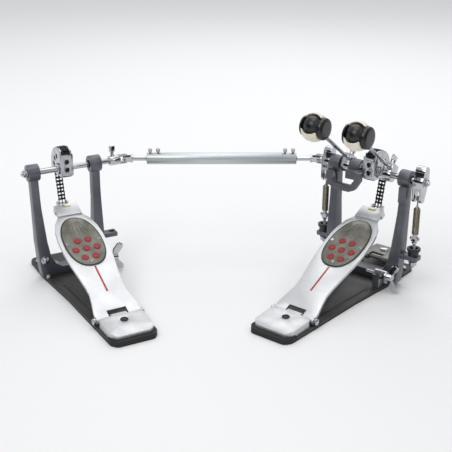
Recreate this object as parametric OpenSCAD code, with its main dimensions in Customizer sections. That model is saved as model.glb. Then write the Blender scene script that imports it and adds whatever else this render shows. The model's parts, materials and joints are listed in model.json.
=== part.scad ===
// Twin bass drum pedal: two chain-drive pedals joined by a telescoping driveshaft.
// The right pedal carries the drum clamp, both beaters and both return springs.
// The left pedal turns the second beater through the driveshaft.
// +X runs along the driveshaft to the right, +Y towards the drum, +Z up.
// Each pedal is drawn in its own frame: heel hinge over the origin, +y to the drum.

/* [Stance] */
// Driveshaft length between the centres of the two universal joints
shaft_span = 342; // [335:1:350]
// Turn of the left pedal about the vertical, toe outwards, in degrees
left_yaw = 28.5; // [20:0.5:32]
// Turn of the right pedal about the vertical, toe outwards, in degrees
right_yaw = 39; // [34:0.5:40]
// Distance from a pedal's centre line to its universal joint
joint_reach = 113; // [113:1:116]

/* [Pedal] */
// Level distance from the heel hinge to the axle
axle_y = 225; // [223:1:228]
// Height of the axle above the floor
axle_z = 194; // [193:1:197]
// Slope of the footboard at rest, in degrees
board_angle = 24.3; // [24:0.1:24.5]
// Height of the heel hinge pin above the floor
hinge_z = 12.6; // [12.4:0.1:13]
// Widest half-width of the footboard
board_half = 40; // [38:0.5:41]

/* [Axle] */
// Radius of the axles
axle_r = 5; // [4.5:0.25:5]
// Outer radius of the bearings
bearing_r = 11; // [10.5:0.25:11]
// Radius of the cast bearing housings
housing_r = 14.5; // [14:0.25:15]
// Length of a bearing housing
housing_w = 20; // [18:0.5:20]

/* [Chain] */
// Distance from pin to pin of the chain
pitch = 6.35; // [6.2:0.05:6.4]
// Radius at which the chain's pins lie on the cam
cam_r = 36; // [35.5:0.1:36.5]
// Half-width of the chain
chain_half = 6.2; // [6:0.1:6.4]

/* [Beater] */
// Lean of the beater rod back towards the player, in degrees
beater_lean = 54.4; // [50:0.2:56]
// Distance along the rod from the axle to the head's centre
beater_reach = 142; // [135:1:150]
// Offset of the rod from the axle's centre
rod_offset = 11; // [10.5:0.5:12]
// Radius of the beater rods
rod_r = 3.2; // [3:0.1:3.4]

/* [Hidden] */
$fn = 48;

// Colours
cast_grey = [0.38, 0.38, 0.41];
plate_black = [0.17, 0.17, 0.15];
rubber_black = [0.08, 0.08, 0.08];
polished = [0.85, 0.85, 0.87];
chrome = [0.75, 0.76, 0.78];
felt_cream = [0.93, 0.91, 0.82];
pad_grey = [0.42, 0.42, 0.38];
steel_dark = [0.45, 0.42, 0.38];

// Driveshaft placing, so that the whole stands over the origin
shaft_x = 2.84;
shaft_y = 148.71;

// Clearances
run_gap = 0.05;

// Base
rubber_t = 3;
plate_t = 3;
floor_top = rubber_t + plate_t;
hinge_r = 3;
knuckle_r = 5.6;
notch_half = 16.5;
knuckle_half = 37.8;

// Hub positions along the axle, from a pedal's centre line
left_hub_x = 55;
right_hub_x = 62;
inner_hub_x = -73;
loop_hub_x = -33;
beater_x = 28;
slave_x = -52;
rocker_x = 88;
slave_rocker_x = -91;

// Spring: a vertical line at rest, under the rocker's pin
spring_y = axle_y - 5;
rocker_pin_z = axle_z - 27.5;
anchor_z = 60;
coil_low = 102;
coil_high = 150;

// Chain geometry in the plane across the axle, angles from level on the drum side
toe_s = 270;
toe_pin_r = 1.6;
toe_h = -0.6;
toe_y = toe_s * cos(board_angle) - toe_h * sin(board_angle);
toe_z = hinge_z + toe_s * sin(board_angle) + toe_h * cos(board_angle);
toe_dist = norm([toe_y - axle_y, toe_z - axle_z]);
tangent_angle = atan2(toe_z - axle_z, toe_y - axle_y) + acos(cam_r / toe_dist);
run_len = sqrt(toe_dist * toe_dist - cam_r * cam_r);
link_angle = 2 * asin(pitch / 2 / cam_r);
seg_links = 3;
seg_angle = seg_links * link_angle;
wrap_links = 7;

// Placing
module right_pedal()
  translate([shaft_x + shaft_span / 2, shaft_y, 0]) rotate([0, 0, -right_yaw])
    translate([joint_reach, -axle_y, 0]) children();
module left_pedal()
  translate([shaft_x - shaft_span / 2, shaft_y, 0]) rotate([0, 0, left_yaw])
    translate([-joint_reach, -axle_y, 0]) children();
module at_axle(x = 0) translate([x, axle_y, axle_z]) children();
module on_board() translate([0, 0, hinge_z]) rotate([board_angle, 0, 0]) children();
module on_beater(x) at_axle(x) rotate([beater_lean, 0, 0]) children();

// A rod or disc along x, centred on x
module rod_x(r, w) rotate([0, 90, 0]) cylinder(r = r, h = w, center = true);
// A profile drawn in y and z, drawn out along x, centred on x
module slab_x(w) rotate([90, 0, 90]) linear_extrude(w, center = true) children();
// A profile drawn in x and z, drawn out along y from y0 to y1
module slab_y(y0, y1) translate([0, y1, 0]) rotate([90, 0, 0]) linear_extrude(y1 - y0) children();
// An outline given by its right side, mirrored to the left
module both_sides(side)
  polygon(concat(side, [for (i = [len(side) - 1:-1:0]) [-side[i][0], side[i][1]]]));
// Rounds the outer corners of an outline
module rounded(r) offset(r = r) offset(delta = -r) children();

// ---- Base -------------------------------------------------------------------------
module base_outline()
  rounded(9) both_sides([[31, -74], [39, -63], [41, 0], [45, 110], [50, 175],
    [53.5, 215], [53.5, 288], [47, 300]]);
module heel_outline() rounded(9) both_sides([[29, -66], [36.5, -56], [37.5, -7]]);

module plate_part() {
  color(plate_black) translate([0, 0, rubber_t]) difference() {
    linear_extrude(plate_t) intersection() {
      base_outline();
      translate([-80, -50]) square([160, 360]);
    }
    for (side = [-1, 1])
      translate([side * 33, 96, plate_t - 1]) rotate([0, 0, side * -3])
        linear_extrude(2) square([6, 130], center = true);
  }
}

module rubber_part() {
  color(rubber_black) difference() {
    union() {
      linear_extrude(rubber_t) base_outline();
      linear_extrude(floor_top + 3) intersection() {
        base_outline();
        translate([-80, -90]) square([160, 39.7]);
      }
    }
    translate([0, 0, floor_top - 0.01]) linear_extrude(10) offset(delta = 0.2) heel_outline();
  }
}

module heel_part() {
  color(polished) difference() {
    union() {
      intersection() {
        translate([0, 0, floor_top]) linear_extrude(20) heel_outline();
        slab_x(90) polygon([[-70, 5], [-70, 12], [-60, 17], [-7, 19.5], [-7, 5]]);
      }
      translate([0, 0, hinge_z]) rod_x(knuckle_r, 27);
      slab_x(27) polygon([[-8, hinge_z - 5], [-8, 18], [0, 18], [0, hinge_z - 5]]);
    }
    translate([0, 0, hinge_z]) rod_x(hinge_r, 60);
    translate([0, -25, 12]) cylinder(r = 5, h = 10);
    translate([0, -25, 5]) cylinder(r = 2.5, h = 10);
  }
}

module hinge_pin_part() {
  color(chrome) translate([0, 0, hinge_z]) {
    rod_x(hinge_r, 80);
    for (side = [-1, 1]) translate([side * 39.9, 0, 0]) rod_x(4.8, 3);
  }
}

// ---- Post frame -------------------------------------------------------------------
foot_front = axle_y - 16;
foot_back = axle_y + 6;
// One post seen from the player: it flares inwards at the foot
module post_outline(hub)
  polygon([[hub + 1, floor_top], [hub + 4, 30], [hub + 6.5, 70], [hub + 6, 130], [hub + 6.5, 178],
    [hub + 6.5, axle_z], [hub - 6.5, axle_z], [hub - 6.5, 178], [hub - 7.5, 130], [hub - 12, 70],
    [hub - 16, 45], [hub - 24, 28], [hub - 36, 20], [hub - 36, floor_top]]);

// The posts seen from the side: they lean back and thin out towards the axle
module post_side()
  polygon([[foot_front, floor_top], [foot_front, 60], [axle_y - 9, 150], [axle_y - 9, axle_z],
    [axle_y + 9, axle_z], [axle_y + 9, 150], [foot_back, 60], [foot_back, floor_top]]);

module post_frame_part(hub_left, hub_right) {
  difference() {
    union() {
      intersection() {
        slab_y(foot_front, axle_y + 9) union() {
          post_outline(hub_right);
          mirror([1, 0, 0]) post_outline(hub_left);
        }
        slab_x(200) post_side();
      }
      translate([30 - hub_left, foot_front, floor_top])
        cube([hub_left + hub_right - 60, foot_back - foot_front, 14]);
      for (x = [hub_right, -hub_left]) at_axle(x) rod_x(housing_r, housing_w);
    }
    for (x = [hub_right, -hub_left]) at_axle(x) {
      rod_x(bearing_r + run_gap, 9);
      rod_x(axle_r + 2, 40);
    }
  }
}

// Arm that holds a spring cup, reaching out from a post
module spring_arm(x, side) difference() {
  translate([side > 0 ? x - 28 : x - 10, axle_y - 14, anchor_z - 4]) cube([38, 18, 8]);
  translate([x, spring_y, anchor_z - 6]) cylinder(r = 5.2, h = 12);
}

module right_post_frame_part() color(cast_grey) {
  post_frame_part(-inner_hub_x, right_hub_x);
  spring_arm(rocker_x, 1);
  spring_arm(slave_rocker_x, -1);
  translate([right_hub_x - 3, axle_y - 20, 157]) cube([14, 14, 27]);
}

module left_post_frame_part() color(cast_grey) {
  post_frame_part(left_hub_x, left_hub_x);
  difference() {
    translate([55, axle_y - 14, anchor_z - 4]) cube([32, 18, 8]);
    translate([79, spring_y, anchor_z - 6]) cylinder(r = 5.2, h = 12);
  }
  screw_block();
}

module loop_bracket_part() color(cast_grey) {
  front = axle_y - 26;
  back = axle_y - 16;
  difference() {
    union() {
      slab_y(front, back)
        polygon([[-78, 186], [-78, 172], [-72, 162], [-64, 156], [-33, 156], [-22, 161], [-12, 178],
          [-12, 192], [-22, 194], [-22, 181], [-31, 167], [-62, 167], [-68, 174], [-68, 186]]);
      translate([-78, front + 2, 160]) cube([10, 14.6, 20]);
      translate([loop_hub_x - 9, front + 2, axle_z - 15]) cube([24, 22, 15]);
      at_axle(loop_hub_x) rod_x(housing_r, 20);
    }
    at_axle(loop_hub_x) {
      rod_x(axle_r + 2, 30);
      for (side = [-1, 1]) translate([side * 6.5, 0, 0]) rod_x(bearing_r + run_gap, 8);
    }
    at_axle(slave_x) rod_x(19, 17);
    at_axle(inner_hub_x) rod_x(housing_r + 0.4, housing_w + 2);
  }
}

module bearing_ring() color(chrome) difference() {
  rod_x(bearing_r, 6.6);
  rod_x(axle_r + run_gap, 8);
}

module bearings_part(places) for (x = places) at_axle(x) bearing_ring();

// ---- Spring cups and fasteners ----------------------------------------------------
module spring_cup(x) color(rubber_black) translate([x, spring_y, anchor_z + 4]) difference() {
  union() {
    cylinder(r = 9, h = 12);
    translate([0, 0, 9]) cylinder(r = 11.5, h = 5);
  }
  translate([0, 0, -1]) cylinder(r = 7, h = 20);
}

module cap_screw(r, h) {
  cylinder(r = r, h = h);
  translate([0, 0, h]) cylinder(r = r * 0.62, h = 1.2, $fn = 6);
}

module base_screws_part() color(chrome) {
  translate([0, -25, floor_top]) cylinder(r = 2.4, h = 7);
  translate([0, -25, 12.05]) cylinder(r = 4.6, h = 4);
  for (side = [-1, 1]) translate([side * 47, axle_y - 22, floor_top]) cap_screw(5, 6);
  for (side = [-1, 1]) translate([side * 44, 276, floor_top]) cap_screw(4.5, 5);
}

// ---- Side clamp and drum clamp ----------------------------------------------------
clamp_y = 187;
clamp_z = 28;
// The block that a side screw runs through
module screw_block() difference() {
  union() {
    translate([37, clamp_y - 9, floor_top]) cube([12, 18, clamp_z - floor_top]);
    translate([43, clamp_y, clamp_z]) rod_x(9, 12);
  }
  translate([43, clamp_y, clamp_z]) rod_x(3.5 + run_gap, 20);
}

module wing_screw_part() color(chrome) translate([0, clamp_y, clamp_z]) {
  translate([44, 0, 0]) rod_x(3.5, 48);
  translate([54.5, 0, 0]) rod_x(9, 10);
  translate([64, 0, 0]) rod_x(6.5, 10);
  for (side = [-1, 1]) slab_y(-2, 2)
    polygon([[60, side * 3], [68, side * 3], [79, side * 16], [80, side * 22], [76, side * 25],
      [70, side * 24], [62, side * 14]]);
}

// The hoop of the drum goes between the jaw and the front lip of the base plate
jaw_y = 252;
jaw_z = 24;
module clamp_jaw_part() {
  color(polished) difference() {
    union() {
      slab_x(56) polygon([[jaw_y + 5, jaw_z + 2], [300, jaw_z - 1], [311, jaw_z - 6], [313, jaw_z - 3],
        [303, jaw_z + 3.5], [jaw_y, jaw_z + 7]]);
      translate([0, jaw_y, jaw_z + 1]) rod_x(6, 56);
      translate([0, 280, jaw_z + 3]) cylinder(r = 7, h = 7);
    }
    translate([0, jaw_y, jaw_z + 1]) rod_x(2.5 + run_gap, 60);
    translate([0, jaw_y, jaw_z - 12]) cube([26, 20, 40], center = true);
  }
}

module jaw_hinge_stand() color(cast_grey) {
  for (side = [-1, 1]) difference() {
    union() {
      translate([side * 33, jaw_y, jaw_z + 1]) rod_x(6, 8);
      translate([side * 33 - 4, jaw_y - 6, floor_top]) cube([8, 12, jaw_z + 1 - floor_top]);
    }
    translate([side * 33, jaw_y, jaw_z + 1]) rod_x(2.5, 20);
  }
  translate([0, jaw_y, jaw_z + 1]) rod_x(2.5, 76);
}

// ---- Footboard --------------------------------------------------------------------
// Egg-shaped outline of the grip pad, grown by grow
pad_s = 166.5;
module pad_outline(grow = 0)
  polygon([for (a = [0:7.5:352.5])
    let (c = cos(a), s = sin(a))
    [(34 + grow) * sign(c) * pow(abs(c), 0.86) * (1 - 0.05 * s),
      pad_s + (57.5 + grow) * sign(s) * pow(abs(s), 0.92)]]);

module board_outline() union() {
  rounded(5) both_sides([[knuckle_half, 0], [37.6, 12], [33.5, 32], [30.5, 50], [31, 66], [34, 92],
    [38, 122], [board_half, 150], [board_half, 176], [37.5, 198], [32, 216], [24, 228], [21, 234],
    [21, 246]]);
}

module footboard_part() color(polished) on_board() difference() {
  union() {
    translate([0, 0, 0.4]) linear_extrude(5) board_outline();
    linear_extrude(1) difference() {
      offset(delta = -6) board_outline();
      offset(delta = -9) board_outline();
      translate([0, -8]) square([120, 40], center = true);
    }
    for (side = [-1, 1])
      translate([side * (notch_half + knuckle_half) / 2, 0, 0]) rod_x(knuckle_r, knuckle_half - notch_half);
  }
  rod_x(hinge_r + run_gap, 100);
  translate([-notch_half, -8, -8]) cube([2 * notch_half, 20, 20]);
  translate([0, 0, 4.4]) linear_extrude(4) pad_outline();
}

module grip_pad_part() on_board() {
  color(pad_grey) translate([0, 0, 4.4]) linear_extrude(2) pad_outline(-0.2);
  color([0.75, 0.16, 0.17]) for (row = [-1:1], i = [0:row == 0 ? 2 : 1])
    translate([(i - (row == 0 ? 1 : 0.5)) * 19, 148 + row * 19.5, 6.2]) cylinder(r = 6.1, h = 1.4);
}

module toe_clamp_part() color(polished) on_board() {
  translate([-21, 230, 5.4]) cube([42, 27, 3]);
  translate([-21, 246.2, -4]) cube([42, 10.8, 9.6]);
  for (side = [-1, 1]) difference() {
    union() {
      translate([side * 9 - 1.5, 256, -4]) cube([3, toe_s - 256, 7]);
      translate([side * 9, toe_s, toe_h]) rod_x(4, 3);
    }
    translate([side * 9, toe_s, toe_h]) rod_x(toe_pin_r, 10);
  }
  translate([0, toe_s, toe_h]) rod_x(toe_pin_r, 21);
}

// ---- Chain ------------------------------------------------------------------------
plate_half = 2.5;
eye_r = plate_half - 0.15;
pin_r = 1.4;
roller_r = 1.6;
outer_in = 4.3;
inner_in = 2.1;
link_t = 1.9;
outer_mid = outer_in + link_t / 2;
// Direction at an angle in the plane across the axle
function along(angle) = [cos(angle), sin(angle)];
// A disc on the chain's pin line at an angle
module pin_disc(angle, r, w) rotate([angle, 0, 0]) translate([0, cam_r, 0]) rod_x(r, w);

// One side plate in the chain's line: a strip that bends at each pin, with round ends
module link_strip(start, links, x0, x1, drilled) translate([(x0 + x1) / 2, 0, 0]) difference() {
  union() {
    slab_x(x1 - x0) polygon([
      for (i = [0:links]) (cam_r - plate_half) * along(start + i * link_angle),
      for (i = [links:-1:0]) (cam_r + plate_half) * along(start + i * link_angle)]);
    for (i = [0, links]) pin_disc(start + i * link_angle, eye_r, x1 - x0);
  }
  if (drilled) for (i = [0, links]) pin_disc(start + i * link_angle, pin_r + run_gap, 8);
}

// Links bent round the cam, from one angle on; outer plates carry the end pins
module chain_arc(start, links, outer) color(rubber_black) at_axle() {
  x0 = outer ? outer_in : inner_in;
  x1 = x0 + link_t;
  first_pin = outer ? 0 : 1;
  for (side = [-1, 1])
    link_strip(start, links, side > 0 ? x0 : -x1, side > 0 ? x1 : -x0, !outer);
  for (i = [first_pin:links - first_pin])
    pin_disc(start + i * link_angle, pin_r, 2 * x1 - 0.02);
}

module chain_run_part() color(rubber_black) translate([0, toe_y, toe_z])
  rotate([tangent_angle, 0, 0]) {
    rollers = floor(run_len / pitch);
    for (side = [-1, 1]) difference() {
      union() {
        translate([side * outer_mid - link_t / 2, -plate_half, 0]) cube([link_t, 2 * plate_half, run_len]);
        for (z = [0, run_len]) translate([side * outer_mid, 0, z]) rod_x(eye_r, link_t);
      }
      translate([side * outer_mid, 0, 0]) rod_x(toe_pin_r + run_gap, 8);
    }
    for (i = [1:rollers - 1]) translate([0, 0, run_len - i * pitch]) rod_x(roller_r, 2 * outer_in + 0.1);
    translate([0, 0, run_len]) rod_x(pin_r, 2 * chain_half);
  }

// ---- Axle parts -------------------------------------------------------------------
module axle_bar(x0, x1) color(chrome) at_axle((x0 + x1) / 2) rod_x(axle_r, x1 - x0);

module axle_part() {
  axle_bar(-31.5, 99);
  color(chrome) at_axle(101) rod_x(3, 6);
}

// Cam: a cut-off disc between two flanges, with a flat face to the player
module cam_disc(r) difference() {
  circle(r = r, $fn = 96);
  translate([-60 - 15, 0]) square([120, 120], center = true);
  translate([0, -60 - 12]) square([120, 120], center = true);
}

module cam_part() at_axle() {
  color(rubber_black) difference() {
    slab_x(13.8) cam_disc(cam_r - plate_half - 0.4);
    rod_x(axle_r, 40);
  }
  color(chrome) for (side = [-1, 1]) translate([side * 8.45, 0, 0]) difference() {
    slab_x(2.9) cam_disc(cam_r + 1.5);
    rod_x(axle_r, 40);
    for (a = [10, 42, 75]) rotate([a, 0, 0]) translate([0, 22, 0]) rod_x(4.5, 20);
  }
  color(chrome) difference() {
    translate([-11, -19, -9]) cube([22, 3.9, 38]);
    for (z = [2, 16]) translate([0, 0, z]) rotate([90, 0, 0]) cylinder(r = 4, h = 60, center = true);
  }
  color(chrome) for (side = [-1, 1]) translate([side * 11.5, 0, 0]) difference() {
    rod_x(10, 3);
    rod_x(axle_r, 40);
  }
}

// Clamp hub: a split ring on the axle with a lug that the beater rod runs through
module hub_part(x, w) color(chrome) on_beater(x) difference() {
  union() {
    rod_x(11.5, w);
    translate([-w / 2, 2, -9]) cube([w, 16.5, 21]);
    translate([0, 18, 1]) rotate([-90, 0, 0]) cylinder(r = 4.2, h = 8);
    translate([-1.5, 25, -7]) cube([3, 9, 16]);
  }
  rod_x(axle_r, 40);
  translate([0, rod_offset, -30]) cylinder(r = rod_r + run_gap, h = 60);
}

module rod_part(x) color(chrome) on_beater(x) translate([0, rod_offset, -24])
  cylinder(r = rod_r, h = beater_reach + 24 - 12);

// Head: a black body with hard faces left and right, felts on the striking faces
module core_part(x) color(rubber_black) on_beater(x) translate([0, rod_offset, beater_reach])
  difference() {
    union() {
      rod_x(14, 30);
      translate([19, 0, 0]) rod_x(21, 9);
      translate([-17, 0, 0]) rod_x(18, 5);
      translate([0, 0, 4]) cylinder(r = 17, h = 18);
      translate([0, 0, -18]) cylinder(r = 8, h = 10);
    }
    translate([0, 0, -40]) cylinder(r = rod_r + run_gap, h = 29);
  }

module felt_part(x) color(felt_cream) on_beater(x) translate([0, rod_offset, beater_reach])
  for (side = [-1, 1]) difference() {
    intersection() {
      rotate([side * -90, 0, 0]) translate([0, 0, 9]) cylinder(r = 24, h = 15);
      rod_x(23.8, 28.4);
    }
    rod_x(14.2, 60);
    translate([0, 0, 3.8]) cylinder(r = 17.2, h = 40);
    translate([0, 0, -30]) cylinder(r = 8.2, h = 40);
  }

// Rocker: a slotted arm on the axle whose lower pin pulls the spring
module rocker_part(x, w) color(chrome) at_axle(x) difference() {
  slab_x(w) {
    circle(r = 12);
    translate([3, 17]) circle(r = 9);
    polygon([[-6, 17], [-12, 0], [-12, -27.5], [2, -27.5], [12, 0], [12, 17]]);
    translate([-5, -27.5]) circle(r = 7);
  }
  rod_x(axle_r, 40);
  translate([0, -5, -30]) cube([w - 8, 40, 34], center = true);
}

module rocker_pin(x, w) color(chrome) translate([x, spring_y, rocker_pin_z]) rod_x(2.2, w - 0.02);

// ---- Spring -----------------------------------------------------------------------
module spring_part(x) color(steel_dark) translate([x, spring_y, 0]) {
  translate([0, 0, coil_low]) difference() {
    cylinder(r = 5.8, h = coil_high - coil_low);
    translate([0, 0, -1]) cylinder(r = 4.2, h = coil_high - coil_low - 2);
  }
  translate([0, 0, coil_high - 1]) cylinder(r = 1.2, h = rocker_pin_z - coil_high - 2.7);
  translate([0, 0, rocker_pin_z]) rotate([0, 90, 0]) rotate_extrude() translate([3.8, 0]) circle(r = 1.2);
}

module spring_rod_part(x) color(chrome) translate([x, spring_y, 0]) {
  translate([0, 0, 42]) cylinder(r = 2.5, h = 50);
  translate([0, 0, 90]) cylinder(r = 4.5, h = 10);
  translate([0, 0, 46]) cylinder(r = 6.8, h = 6, $fn = 6);
}

// ---- Universal joints and driveshaft ----------------------------------------------
// A fork at the origin, opening to +x, its arms above and below or at the sides
module fork(turn) rotate([turn, 0, 0]) {
  translate([-12.6, 0, 0]) rod_x(7.4, 3.8);
  for (side = [-1, 1]) difference() {
    union() {
      translate([-12.6, -4, side * 6.5 - 1.1]) cube([12.6, 8, 2.2]);
      translate([0, 0, side * 6.5 - 1.1]) cylinder(r = 4, h = 2.2);
    }
    translate([0, 0, side * 6.5 - 4]) cylinder(r = 2, h = 8);
  }
}

module cross_part() color(chrome) {
  cylinder(r = 4.1, h = 8.6, center = true);
  for (side = [-1, 1]) translate([0, 0, side * 5.9]) cylinder(r = 1.95, h = 4, center = true);
}

module slave_axle_part() {
  axle_bar(-101, -34.5);
  color(chrome) at_axle(-joint_reach) mirror([1, 0, 0]) fork(0);
}

module left_axle_part() {
  axle_bar(-70, 97);
  color(chrome) at_axle(-72) rod_x(3.4, 6);
}

// Collar, clamp bolt and fork that carry the left axle's turn to the driveshaft
module left_yoke_part() color(chrome) at_axle(joint_reach) {
  fork(0);
  difference() {
    union() {
      translate([-22, 0, 0]) rod_x(8.5, 16);
      translate([-24, 0, 6]) cylinder(r = 3, h = 12);
      translate([-29, -1.5, 16]) cube([10, 3, 10]);
    }
    translate([-26.5, 0, 0]) rod_x(axle_r, 21.2);
  }
}

tube_half = 132;
tube_r = 10.3;
bar_r = 4.2;
module shaft_tube_part() color(polished) translate([shaft_x, shaft_y, axle_z]) difference() {
  rod_x(tube_r, 2 * tube_half);
  rod_x(6.5, 2 * tube_half - 60);
  rod_x(bar_r + run_gap, 2 * tube_half + 2);
}

module shaft_screws_part() color(chrome)
  for (x = [-tube_half + 6, -tube_half + 20, tube_half - 20, tube_half - 6])
    translate([shaft_x + x, shaft_y, axle_z + tube_r]) {
      cylinder(r = 2.2, h = 3);
      translate([0, 0, 3]) cylinder(r = 3.6, h = 4);
    }

// A driveshaft bar ends in a fork round its joint's centre
module shaft_bar(reach) {
  translate([-14 - reach / 2, 0, 0]) rod_x(bar_r, reach);
  fork(90);
}

module left_shaft_rod_part() color(chrome)
  translate([shaft_x - shaft_span / 2, shaft_y, axle_z]) mirror([1, 0, 0]) shaft_bar(120);
module right_shaft_rod_part() color(chrome)
  translate([shaft_x + shaft_span / 2, shaft_y, axle_z]) shaft_bar(60);

// ---- Nodes ------------------------------------------------------------------------
module base_plate() right_pedal() plate_part();
module base_rubber() right_pedal() rubber_part();
module post_frame() right_pedal() right_post_frame_part();
module loop_bracket() right_pedal() loop_bracket_part();
module bearings() right_pedal()
  bearings_part([right_hub_x, inner_hub_x, loop_hub_x - 6.5, loop_hub_x + 6.5]);
module heel_plate() right_pedal() heel_part();
module hinge_pin() right_pedal() hinge_pin_part();
module base_screws() right_pedal() base_screws_part();
module spring_cups() right_pedal() for (x = [rocker_x, slave_rocker_x]) spring_cup(x);
module clamp_bracket() right_pedal() {
  color(cast_grey) screw_block();
  jaw_hinge_stand();
}
module clamp_jaw() right_pedal() clamp_jaw_part();
module clamp_wing_screw() right_pedal() wing_screw_part();
module footboard() right_pedal() footboard_part();
module grip_pad() right_pedal() grip_pad_part();
module toe_clamp() right_pedal() toe_clamp_part();
module axle() right_pedal() axle_part();
module cam() right_pedal() cam_part();
module beater_hub() right_pedal() hub_part(beater_x, 17);
module rocker() right_pedal() {
  rocker_part(rocker_x, 17);
  rocker_pin(rocker_x, 17);
}
module chain_wrap() right_pedal()
  chain_arc(tangent_angle + 2 * seg_angle, wrap_links, false);
module beater_rod() right_pedal() rod_part(beater_x);
module beater_core() right_pedal() core_part(beater_x);
module beater_felt() right_pedal() felt_part(beater_x);
module chain_seg_1() right_pedal() chain_arc(tangent_angle, seg_links, false);
module chain_seg_2() right_pedal() chain_arc(tangent_angle + seg_angle, seg_links, true);
module chain_run() right_pedal() chain_run_part();
module spring() right_pedal() spring_part(rocker_x);
module spring_rod() right_pedal() spring_rod_part(rocker_x);
module slave_axle() right_pedal() slave_axle_part();
module slave_hub() right_pedal() hub_part(slave_x, 14);
module slave_rocker() right_pedal() {
  rocker_part(slave_rocker_x, 14.4);
  rocker_pin(slave_rocker_x, 14.4);
}
module slave_rod() right_pedal() rod_part(slave_x);
module slave_core() right_pedal() core_part(slave_x);
module slave_felt() right_pedal() felt_part(slave_x);
module slave_spring() right_pedal() spring_part(slave_rocker_x);
module slave_spring_rod() right_pedal() spring_rod_part(slave_rocker_x);
module shaft_tube() shaft_tube_part();
module shaft_screws() shaft_screws_part();
module right_shaft_rod() right_shaft_rod_part();
module left_shaft_rod() left_shaft_rod_part();
module right_cross() right_pedal() at_axle(-joint_reach) cross_part();
module left_cross() left_pedal() at_axle(joint_reach) cross_part();
module left_base_plate() left_pedal() plate_part();
module left_base_rubber() left_pedal() rubber_part();
module left_post_frame() left_pedal() left_post_frame_part();
module left_bearings() left_pedal() bearings_part([-left_hub_x, left_hub_x]);
module left_heel_plate() left_pedal() heel_part();
module left_hinge_pin() left_pedal() hinge_pin_part();
module left_base_screws() left_pedal() base_screws_part();
module left_wing_screw() left_pedal() translate([6, 0, 0]) wing_screw_part();
module left_footboard() left_pedal() footboard_part();
module left_grip_pad() left_pedal() grip_pad_part();
module left_toe_clamp() left_pedal() toe_clamp_part();
module left_axle() left_pedal() left_axle_part();
module left_yoke() left_pedal() left_yoke_part();
module left_cam() left_pedal() cam_part();
module left_chain_wrap() left_pedal()
  chain_arc(tangent_angle + 2 * seg_angle, wrap_links, false);
module left_chain_seg_1() left_pedal() chain_arc(tangent_angle, seg_links, false);
module left_chain_seg_2() left_pedal() chain_arc(tangent_angle + seg_angle, seg_links, true);
module left_chain_run() left_pedal() chain_run_part();

base_plate();
base_rubber();
post_frame();
loop_bracket();
bearings();
heel_plate();
hinge_pin();
base_screws();
spring_cups();
clamp_bracket();
clamp_jaw();
clamp_wing_screw();
footboard();
grip_pad();
toe_clamp();
axle();
cam();
beater_hub();
rocker();
chain_wrap();
beater_rod();
beater_core();
beater_felt();
chain_seg_1();
chain_seg_2();
chain_run();
spring();
spring_rod();
slave_axle();
slave_hub();
slave_rocker();
slave_rod();
slave_core();
slave_felt();
slave_spring();
slave_spring_rod();
shaft_tube();
shaft_screws();
right_shaft_rod();
left_shaft_rod();
right_cross();
left_cross();
left_base_plate();
left_base_rubber();
left_post_frame();
left_bearings();
left_heel_plate();
left_hinge_pin();
left_base_screws();
left_wing_screw();
left_footboard();
left_grip_pad();
left_toe_clamp();
left_axle();
left_yoke();
left_cam();
left_chain_wrap();
left_chain_seg_1();
left_chain_seg_2();
left_chain_run();
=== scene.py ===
"""Looks of a double bass drum pedal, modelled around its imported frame.

Each sub-assembly of the pedal is a class: build() makes its meshes, dress() gives them their finishes
and fastens them to the frame's bodies. Sizes are in millimetres, in a pedal's own frame: the heel hinge
stands over its origin, +x is to the player's right and +y points to the drum.
"""
import json
import logging
import math
from dataclasses import dataclass, field
from enum import Enum
from typing import Callable, Sequence

import bmesh
import bpy
from mathutils import Matrix, Vector

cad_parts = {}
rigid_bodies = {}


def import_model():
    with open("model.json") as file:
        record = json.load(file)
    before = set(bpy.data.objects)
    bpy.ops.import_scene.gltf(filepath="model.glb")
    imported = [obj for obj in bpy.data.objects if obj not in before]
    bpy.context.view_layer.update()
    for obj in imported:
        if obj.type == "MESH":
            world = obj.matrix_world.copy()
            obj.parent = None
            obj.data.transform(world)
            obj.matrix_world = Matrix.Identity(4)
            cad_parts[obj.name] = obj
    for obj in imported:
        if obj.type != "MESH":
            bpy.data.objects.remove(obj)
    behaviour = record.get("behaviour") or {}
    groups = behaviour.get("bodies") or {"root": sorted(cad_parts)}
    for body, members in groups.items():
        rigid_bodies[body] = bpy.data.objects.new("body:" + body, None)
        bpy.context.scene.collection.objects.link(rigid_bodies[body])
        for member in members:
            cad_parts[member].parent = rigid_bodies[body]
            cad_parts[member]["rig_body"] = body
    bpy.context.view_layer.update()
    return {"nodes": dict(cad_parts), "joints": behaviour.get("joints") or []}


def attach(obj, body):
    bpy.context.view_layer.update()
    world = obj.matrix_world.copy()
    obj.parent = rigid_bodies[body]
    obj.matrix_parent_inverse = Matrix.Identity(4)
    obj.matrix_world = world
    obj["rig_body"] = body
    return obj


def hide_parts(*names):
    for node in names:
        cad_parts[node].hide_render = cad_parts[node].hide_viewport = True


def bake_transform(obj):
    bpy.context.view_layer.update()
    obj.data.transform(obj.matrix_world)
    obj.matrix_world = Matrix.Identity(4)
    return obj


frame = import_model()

MM = 0.001
AXLE_Y, AXLE_Z = 225.0, 194.0
HINGE_Z = 12.6
BOARD_SLOPE = 24.3
log = logging.getLogger("pedal")

Point = tuple[float, float, float]
Profile = Sequence[tuple[float, float]]
Piece = bpy.types.Object


class Side(Enum):
    """One of the two pedals, with the prefixes of its joints, its nodes and its bodies."""

    RIGHT = ("pedal_fold", "", "right_")
    LEFT = ("left_pedal_fold", "left_", "left_")

    @property
    def fold(self) -> str:
        """Name of the footboard's joint."""
        return self.value[0]

    def node(self, name: str) -> str:
        """Name of this pedal's node."""
        return self.value[1] + name

    def body(self, name: str) -> str:
        """Name of this pedal's body."""
        return self.value[2] + name


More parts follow.
